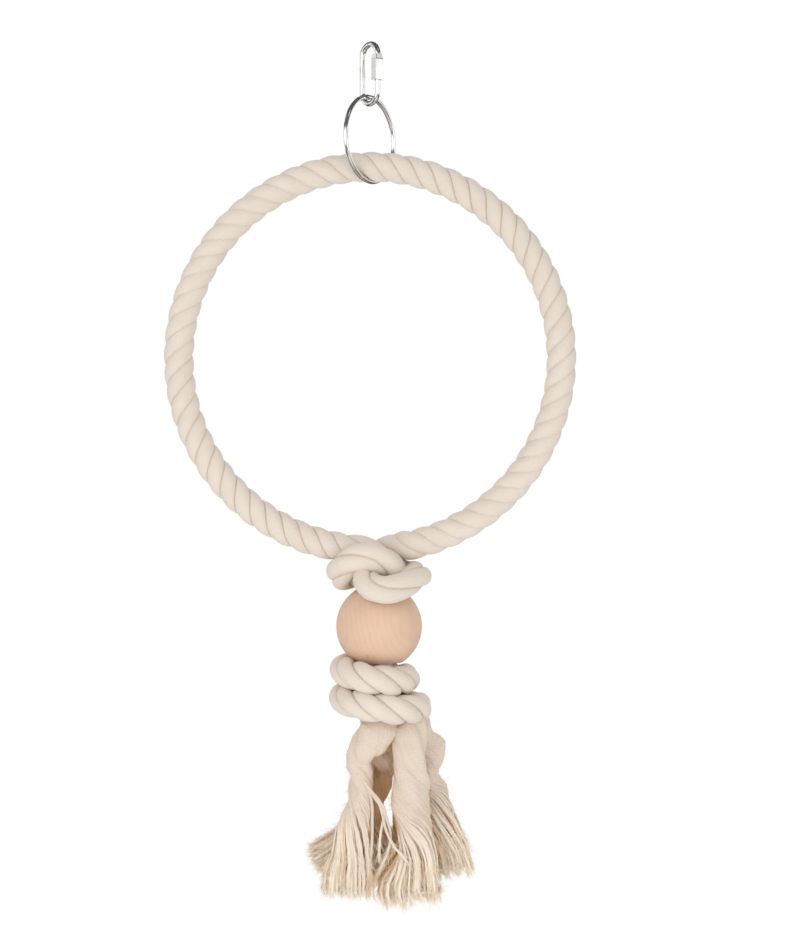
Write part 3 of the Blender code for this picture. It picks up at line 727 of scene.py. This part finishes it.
def strand_yarns(stations, folds, yarns, size, rough, seed, bundle):
    """Lines, radii, painted shade, outward directions and openness of the yarns of one tail.

    stations: (x, y, z, half width, half depth, twist in degrees, looseness) from the knot down, in mm.
    folds: (degrees, depth), the furrows that run down the strand with its twist.
    """
    steps, locks = 46, 13
    # shares of the yarns, and how far out in the strand they lie
    layers = ((0.5, 1.0), (0.3, 0.72), (0.2, 0.38))
    furrow_half, gather_squeeze = 0.30, 0.22
    cover_from, cover_blend = 14, 22
    chance = np.random.default_rng(seed)
    whole, course, fall = strand_course(stations)
    counts = [int(yarns * share) for share, _ in layers]
    how_far_out = np.concatenate([np.full(n, rest) for n, (_, rest) in zip(counts, layers)])
    which_way = np.concatenate([2 * math.pi * (np.arange(n) + chance.uniform(-0.2, 0.2, n)) / n
                                for n in counts])
    lock_way = 2 * math.pi * (np.arange(locks) + chance.uniform(-0.35, 0.35, locks)) / locks
    lock_pull = chance.uniform(0.0, 0.55, locks)
    share = np.linspace(0, 1, steps)
    taper = np.interp(share, [0, 0.8, 0.95, 1], [1, 1, 1.05, 0.4])
    near_end = ease((share - 0.8) / 0.2)
    spun = []
    for layer, angle in zip(how_far_out, which_way):
        off = turn_between(angle, lock_way)
        lock = int(np.argmin(np.abs(off)))
        fold = sum(depth * math.exp(-(turn_between(angle, math.radians(way)) / furrow_half) ** 2)
                   for way, depth in folds)
        reach = np.linspace(0, chance.uniform(0.89, 1.0), steps)
        x, y, z, wide, deep, twist, loose = (np.interp(reach, whole, values) for values in course)
        fall_x, fall_z = (np.interp(reach, whole, values) for values in fall)
        gather = lock_pull[lock] * loose * np.interp(reach, [0, 0.45, 0.8, 1], [0, 0.4, 1, 0.45])
        turn = angle - gather * off[lock] + np.radians(twist) + loose * chance.normal(0, 0.13)
        rad = layer * (1 - gather_squeeze * gather) * (1 - fold * (1 - 0.7 * loose))
        rad = rad + loose * chance.uniform(-0.24, 0.12)
        sway_across = loose * loose_sway(reach, chance)
        sway_deep = loose * loose_sway(reach, chance)
        across = wide * rad * np.cos(turn) + sway_across
        inward = y + deep * rad * np.sin(turn)
        line = np.stack([x - across * fall_z, inward + sway_deep, z + across * fall_x], 1) / 1000
        radius = size * chance.uniform(0.92, 1.28) * (1 + loose * chance.uniform(-0.45, 0.3)) * taper
        outward = np.stack([-np.cos(turn) * fall_z, np.sin(turn), np.cos(turn) * fall_x], 1)
        # painted shade: yarns inside their strand, and yarns with much of the bundle on the side they face,
        # get the dusky colour, less of it at the tips
        own = 0.9 * ease((0.95 - rad) / 0.45) * (0.4 + 0.6 * loose) * (1 - 0.85 * near_end)
        cover = cover_over(x + across, inward, z, turn, bundle)
        covered = 0.85 * ease((cover - cover_from) / cover_blend) * (1 - 0.3 * near_end)
        inner = 1 - (1 - own) * (1 - covered)
        # opened also sets where painted light makes the open yarns paler
        spun.append((line, radius, inner, outward, ease((reach - 0.5) / 0.32), loose))
    lines, radii, inner, outward, opened, slack = (np.array(values) for values in zip(*spun))
    lines += unevenness(lines, rough, seed + 7) * (1 - 0.8 * slack)[..., None]
    return lines, radii, inner, outward, opened


def with_stray(spun, route):
    """The yarns of a tail, and one more that strays in front of them on a route of its own, in mm."""
    lines, radii, inner, outward, opened = spun
    path = smooth_line(np.array(route) / 1000, 0.0005)
    path = path[np.linspace(0, len(path) - 1, lines.shape[1]).astype(int)]
    stray = (path, radii[0], 0 * inner[0], np.broadcast_to(front, outward[0].shape), opened[0])
    return [np.concatenate([yarns, more[None]]) for yarns, more in zip(spun, stray)]


def loose_fibres(lines, radii, inner, outward, opened, at_ends, hairs, seed):
    """Fibres that work loose near the ends of the yarns and spray from them, and hairs higher up.

    They come as the values that yarn_tubes takes.
    """
    sides, shade_in = 3, 0.35
    fibre_radii, hair_radii = np.array([0.00013, 0.00012, 0.00005]), np.array([0.00009, 0.00008, 0.00004])
    frayed, covered_from = 0.024, 0.010
    spread, tip_spread, tip_run = 0.09, 0.33, 0.0028
    chance = np.random.default_rng(seed)
    t = np.linspace(0, 1, len(fibre_radii))[:, None]
    grown = []
    for line, size, deep, out_of, open_here in zip(lines, radii, inner, outward, opened):
        step = np.linalg.norm(line[-1] - line[-2])
        for _ in range(at_ends):
            back = frayed * chance.uniform() ** 2
            spot = max(1, len(line) - 1 - int(back / step))
            ahead = line[spot] - line[spot - 1]
            spray = chance.normal(0, spread + tip_spread * math.exp(-back / tip_run), 3)
            out = ahead / np.linalg.norm(ahead) + spray
            aside = chance.normal(0, 0.55, 3)
            root = line[spot] - ahead * chance.uniform() + aside * size[spot]
            length = chance.uniform(0.0010, 0.0033) + 0.32 * back
            fibre = root + length * (t * out + t * t * chance.normal(0, 0.28, 3))
            thick = fibre_radii * chance.uniform(0.6, 1.2)
            # painted shade of a fibre: more higher up the yarn and on its side turned into the tail, none at
            # the tip
            covered = float(ease(back / covered_from))
            depth = (0.1 + 0.75 * covered) * deep[spot] - 0.6 * covered * aside @ out_of[spot]
            depth = min(1.0, max(0.0, depth))
            grown.append((fibre, thick, depth, out_of[spot], open_here[spot], shade_in * covered))
    for _ in range(hairs):
        n = chance.integers(len(lines))
        k = int(2 + (lines.shape[1] - 5) * chance.uniform() ** 0.6)
        ahead = lines[n, k + 1] - lines[n, k - 1]
        out = chance.normal(0, 1, 3)
        out = out / np.linalg.norm(out) + 0.8 * ahead / np.linalg.norm(ahead)
        length = chance.uniform(0.0014, 0.0038)
        fibre = lines[n, k] + length * (t * out + t * t * chance.normal(0, 0.5, 3))
        grown.append((fibre, hair_radii, inner[n, k], outward[n, k], opened[n, k], shade_in))
    fibres, sizes, depth, away, pale, shade = (np.array(values) for values in zip(*grown))
    return fibres, sizes, depth, away, pale, sides, shade


def yarn_cotton(name, pale, warm, ends, deep):
    """The same cotton as yarn: two twisted plies, painted light where open, painted shade deep in the tails.
    """
    material, shader, tone = new_finish(name, Sheen_Weight=0.45, Sheen_Roughness=0.5, Specular_IOR_Level=0.2,
                                        Sheen_Tint=(1.0, 0.93, 0.84, 1))
    turns, along = lay_of(tone)
    ply = 0.5 + 0.5 * tone.maths("SINE", 2 * math.pi * (2.0 * turns + 420.0 * along))
    place = tone.node("ShaderNodeTexCoord", out="Object")
    fibre = mottle(place, 2400.0, 2.0)
    cloud = mottle(place, 160.0, 2.0)
    inner = tone.node("ShaderNodeAttribute", {"attribute_name": "inner"}, out="Fac")
    opened = tone.node("ShaderNodeAttribute", {"attribute_name": "opened"}, out="Fac")
    colour = (0.2 * (1 - ply) + 0.3 * fibre + 0.5 * cloud).span(0.25, 0.8).mix(pale, warm)
    # painted light lifts the open yarns towards the paler colour, and painted shade turns deep yarns dusky
    feed(shader,
         Base_Color=inner.mix((0.9 * opened).mix(colour, ends), deep),
         Roughness=0.88 + 0.08 * fibre,
         Normal=relief(0.6 * ply + 0.5 * fibre, 0.3, 0.00016))
    return material


yarn_pale, yarn_warm = (0.735, 0.637, 0.546, 1), (0.690, 0.578, 0.478, 1)
# the paler colour of the open yarns is painted light against the shade among loose yarns, and the dusky
# colour is painted shade deep in the tails
yarn_painted_light, yarn_shade_colour = (0.87, 0.785, 0.665, 1), (0.80, 0.54, 0.29, 1)
yarn_radius, yarn_sides, yarn_shade = 0.0008, 8, 0.8
fibres_per_yarn, hairs_per_yarn = 76, 18
# yarns, roughness, seed, furrows, stations (x, y, z, half width, half depth, twist, looseness)
tails = {
    "tail_front_left": (136, 0.0006, 21, [(155, 0.24), (20, 0.12), (275, 0.10)], [
        (7, -8, -387, 8.6, 5.6, 0, 0), (5.4, -12, -392, 9.9, 6.8, 6, 0), (4.6, -15, -396.5, 10.1, 7.6, 16, 0),
        (0.8, -16, -401.5, 9.6, 7.4, 34, 0), (-4, -15.5, -407, 8, 6.8, 64, 0),
        (-6.4, -15, -414, 6.9, 6.4, 106, 0), (-5.2, -14.5, -421, 5.7, 6, 150, 0),
        (-4.8, -14.5, -428, 5.7, 6.2, 205, 0.05), (-5, -15, -435, 6, 6.6, 254, 0.2),
        (-6.6, -14.5, -443, 7.6, 7.4, 298, 0.4), (-8.6, -14, -452, 9.2, 8.5, 330, 0.65),
        (-10.2, -13.5, -461, 9.6, 10, 350, 0.9), (-11.4, -14, -470, 10.6, 11, 362, 1),
        (-13.4, -14.5, -479, 12.4, 11.5, 368, 1), (-14.6, -15, -490.5, 12.8, 12, 371, 1)]),
    "tail_front_right": (146, 0.0011, 22, [(60, 0.14), (170, 0.10), (290, 0.12)], [
        (18.5, -5, -387, 7, 5.6, 0, 0), (22.6, -9, -393, 8.4, 6.6, 8, 0), (23.4, -13, -399, 8.6, 7.4, 22, 0),
        (23.1, -16, -408, 9.2, 7.9, 56, 0), (23.1, -16.5, -417, 9.6, 7.9, 100, 0),
        (23.2, -16.5, -426, 9.5, 7.8, 148, 0), (23.3, -16.5, -434.5, 9.6, 8, 196, 0.1),
        (24, -15.5, -443, 9.8, 8.5, 244, 0.3), (25.6, -15, -452, 9.6, 9, 288, 0.55),
        (26.2, -14.5, -461, 10.2, 10, 318, 0.8), (25.8, -15, -470, 12.2, 11, 336, 1),
        (23.6, -15, -479, 16, 11.5, 346, 1), (21, -15.5, -487, 19.6, 11.5, 352, 1),
        (22.4, -15.5, -496, 17.4, 12, 355, 1)]),
    "tail_side_right": (100, 0.0013, 23, [(90, 0.14), (210, 0.14), (330, 0.12)], [
        (21, 2, -387, 5.6, 5.6, 0, 0), (27, 3, -395, 6, 6.2, 10, 0), (31.4, 3.5, -401.5, 6.6, 6.8, 30, 0),
        (34.6, 4, -407, 7, 7, 62, 0), (35.2, 4.5, -415, 7, 6.9, 112, 0), (34, 4.5, -424, 5.4, 6, 164, 0),
        (35.8, 4.5, -430, 5.8, 6, 212, 0.15), (37.6, 5, -436, 7, 6.5, 258, 0.45),
        (38.6, 5, -444, 8, 7, 296, 0.75), (40.2, 5.5, -452, 9.2, 8, 322, 0.95),
        (43, 6.5, -461, 10.2, 9, 338, 1), (46, 7.5, -471, 11.4, 9.5, 346, 1),
        (48.6, 8, -485, 12.4, 10, 350, 1)]),
    "tail_back_right": (88, 0.0008, 24, [(40, 0.14), (160, 0.14), (280, 0.14)], [
        (17, 8, -387, 6.2, 5.6, 0, 0), (20, 12, -398, 7.2, 6.6, 26, 0), (21.6, 15, -410, 7.6, 7, 80, 0),
        (22, 16.5, -424, 7, 6.8, 160, 0.05), (22, 16.5, -438, 7.6, 7, 236, 0.3),
        (24, 15, -452, 10.4, 9, 290, 0.75), (27, 14, -468, 13, 10.5, 318, 1),
        (29, 14.5, -485, 13.6, 11, 328, 1)]),
    "tail_back_middle": (88, 0.0007, 25, [(80, 0.16), (200, 0.16), (320, 0.16)], [
        (4, 7, -387, 6.2, 5.4, 0, 0), (7.6, 7.5, -396, 8.4, 6.8, 14, 0), (9, 6.5, -405, 9.4, 8.4, 44, 0),
        (9, 5.5, -413, 9.2, 9, 90, 0), (8.4, 6, -419.5, 8.6, 8.4, 125, 0), (7, 14.5, -424.5, 6, 4.6, 150, 0),
        (6, 14, -430, 6, 6, 182, 0.05), (4.6, 13.5, -435, 5.4, 6.2, 212, 0.1),
        (2.6, 13, -440, 4.6, 6.5, 240, 0.2), (1.8, 12, -446, 4.8, 7, 266, 0.35),
        (1.2, 12, -452, 5.4, 7.5, 282, 0.5), (3, 11.5, -459, 9.4, 9, 298, 0.85),
        (4.4, 11, -468, 13, 10.5, 318, 1), (4, 11.5, -488, 13.4, 11, 328, 1)]),
    "tail_back_left": (110, 0.0008, 26, [(30, 0.14), (150, 0.14), (270, 0.14)], [
        (0.6, 4, -387, 5.4, 5.4, 0, 0), (0, 5, -398, 5.6, 6, 28, 0), (-3.6, 5.5, -412, 6.2, 6.4, 92, 0),
        (-4.6, 5.5, -426, 6, 6.2, 170, 0.05), (-5.8, 5.5, -441, 6.4, 6.4, 248, 0.25),
        (-8.4, 6, -452, 6.6, 7.5, 296, 0.6), (-13.4, 5.5, -461, 7.4, 8.5, 318, 0.9),
        (-20, 5.5, -467, 8.2, 9.5, 328, 1), (-27, 5.5, -471, 8.4, 10, 331, 1),
        (-33, 5.5, -474.5, 8, 10, 332, 1)]),
}
strays = {"tail_front_left": [
    [(-6, -19.5, -421), (-0.1, -21.5, -429.2), (5.3, -21, -435.8), (8.8, -20, -442.4), (7.2, -19.5, -450),
     (5.9, -19, -457.9), (5.3, -18.5, -470)],
    [(-5, -19.5, -424), (1.9, -21, -432.7), (6.8, -20.5, -440), (9.9, -20, -447), (11.9, -19, -455.6),
     (10.8, -18.5, -464.2), (5.3, -18, -477.4)],
    [(-3, -20, -427), (4.2, -21, -435), (7.4, -20.5, -444), (8.8, -20.5, -451), (13.9, -22, -461.9),
     (18.5, -24, -466.5), (22, -25.5, -471)],
    [(-5, -19.5, -424), (-0.6, -20, -431), (1.2, -19.5, -438), (1.4, -19, -448), (1.3, -18.5, -459),
     (0.7, -18, -466.5), (-0.1, -17.5, -473), (1.2, -17, -482)]]}
tail_cotton = yarn_cotton("tail_cotton", yarn_pale, yarn_warm, yarn_painted_light, yarn_shade_colour)
bundle = bundle_outline(tails)
for name, (yarns, rough, seed, folds, stations) in tails.items():
    spun = strand_yarns(stations, folds, yarns, yarn_radius, rough, seed, bundle)
    for route in strays.get(name, []):
        spun = with_stray(spun, route)
    tail = yarn_tubes(name + "_yarns", *spun, yarn_sides, yarn_shade)
    fibres = loose_fibres(*spun, fibres_per_yarn, hairs_per_yarn * yarns, seed + 50)
    fluff = yarn_tubes(name + "_ends", *fibres)
    # light passes such fine fibre, so in the render it casts no shadow
    fluff.visible_shadow = False
    for piece in (tail, fluff):
        piece.data.materials.append(tail_cotton)
        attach(piece, "swing")
    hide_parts(name)


# Stage, light and camera.
# A pale floor well below the hanging swing, four wide soft lamps, and a camera level with the middle of the
# swing. Cards stand round it that only mirrors see: they give the bright steel its dark and light bands.
def add_disc(sides, radius, height):
    """A flat round sheet that lies level."""
    let_go()
    bpy.ops.mesh.primitive_circle_add(vertices=sides, radius=radius, fill_type="NGON",
                                      location=(0, 0, height))


def seen(tone):
    """1 for what the camera sees, also in a mirror or through glass, and 0 for the light on the object."""
    path = tone.node("ShaderNodeLightPath", out="Is Camera Ray")
    mirrored = tone.maths("MAXIMUM", path, path.out("Is Glossy Ray"))
    return tone.maths("MAXIMUM", mirrored, path.out("Is Transmission Ray"))


white = (1, 1, 1, 1)
scene = bpy.context.scene
scene.view_settings.view_transform = "Standard"
scene.world = bpy.data.worlds.new("studio")
scene.world.use_nodes = True
tone = Tone(scene.world.node_tree)
room_light = tone.tree.nodes["Background"]
room_light.inputs["Color"].default_value = (1.0, 0.985, 0.965, 1)
room_light.inputs["Strength"].default_value = 0.735
backdrop = tone.node("ShaderNodeBackground", None, {"Color": white, "Strength": 1.0})
both = tone.node("ShaderNodeMixShader", None,
                 {0: seen(tone), 1: Tone(tone.tree, room_light.outputs[0]), 2: backdrop})
tone.tree.links.new(both.socket, tone.tree.nodes["World Output"].inputs["Surface"])

floor_height, floor_radius = -0.80, 1.1
white_from, white_full = 0.30, 1.0
add_disc(96, floor_radius, floor_height)
floor = bpy.context.object
floor.name = "studio_floor"
material, shader, tone = new_finish("floor_paint", Base_Color=(0.95, 0.95, 0.95, 1), Roughness=0.9)
place = tone.node("ShaderNodeTexCoord", out="Object")
far = tone.node("ShaderNodeVectorMath", {"operation": "LENGTH"}, {0: place}, out="Value")
faded = seen(tone) * far.span(white_from, white_full)
glow = tone.node("ShaderNodeEmission", None, {"Color": white, "Strength": 1.0})
both = tone.node("ShaderNodeMixShader", None, {0: faded, 1: Tone(tone.tree, shader.outputs[0]), 2: glow})
tone.tree.links.new(both.socket, tone.tree.nodes["Material Output"].inputs["Surface"])
floor.data.materials.append(material)

cards = []


def new_card(grey, glow=0.0, tint=white):
    """Makes the flat shape that was just added a card which only mirrors see."""
    card = bpy.context.object
    card.name = f"studio_card_{len(cards)}"
    material, *_ = new_finish(card.name, Base_Color=(grey, grey, grey, 1), Roughness=0.95,
                              Emission_Color=tint, Emission_Strength=glow)
    card.data.materials.append(material)
    card.visible_camera = card.visible_diffuse = card.visible_shadow = card.visible_transmission = False
    cards.append(card)


def turned_to(target, spot):
    """The turn of a card or lamp at this spot that makes it face the target."""
    return (Vector(target) - Vector(spot)).to_track_quat("-Z", "Y").to_euler()


card_top, card_foot, card_radius, warm_radius = 0.69, -0.79, 2.4, 0.8
dark, warm_glow, warm_tint = 0.10, 0.36, (1, 0.87, 0.74, 1)
add_disc(48, card_radius, card_top)
new_card(dark)
add_disc(48, card_radius, card_foot)
bpy.ops.object.mode_set(mode="EDIT")
bpy.ops.mesh.select_all(action="SELECT")
bpy.ops.mesh.inset(thickness=card_radius - warm_radius)
bpy.ops.mesh.delete(type="FACE")
bpy.ops.object.mode_set(mode="OBJECT")
new_card(dark)
add_disc(48, warm_radius, card_foot)
new_card(0.0, warm_glow, warm_tint)
strip_away, strip_tall, strip_middle = 1.7, 1.46, -0.05
for azimuth, width, grey in ((-72, 0.42, 0.10), (187, 0.6, 0.95), (62, 0.4, 0.12), (128, 0.3, 0.12)):
    turn = math.radians(azimuth)
    spot = (strip_away * math.cos(turn), strip_away * math.sin(turn), strip_middle)
    let_go()
    bpy.ops.mesh.primitive_plane_add(size=1, location=spot, rotation=(math.pi / 2, 0, turn + math.pi / 2))
    bpy.context.object.scale = (width, strip_tall, 1)
    new_card(grey)
for spot in ((0.36, -0.50, 0.62), (-0.70, 0.066, 0.48)):
    let_go()
    bpy.ops.mesh.primitive_plane_add(size=0.26, location=spot, rotation=turned_to((0, 0, 0), spot))
    new_card(0.5, 0.5)

# name, place, size and power
lamps = (("key", (-0.90, -1.30, 0.10), 1.1, 5.6), ("fill", (0.95, -1.3, -0.1), 1.2, 2.9),
         ("back", (0.2, 1.3, 0.3), 1.2, 5.0), ("low", (0.05, -0.40, -0.76), 1.0, 2.0))
lit_middle = (0, 0, -0.25)
for name, spot, size, power in lamps:
    lamp = bpy.data.objects.new(name, bpy.data.lights.new(name, "AREA"))
    lamp.data.size = size
    lamp.data.energy = power
    lamp.location = spot
    lamp.rotation_euler = turned_to(lit_middle, spot)
    lamp.visible_camera = False
    scene.collection.objects.link(lamp)

camera_away, camera_x, camera_z = 1.15, 0.0145, -0.2436
sensor_width, view_width = 36, 0.5426
camera = bpy.data.objects.new("camera", bpy.data.cameras.new("camera"))
camera.location = (camera_x, -camera_away, camera_z)
camera.rotation_euler = (math.pi / 2, 0, 0)
camera.data.sensor_width = sensor_width
camera.data.lens = sensor_width * camera_away / view_width
scene.collection.objects.link(camera)
scene.camera = camera
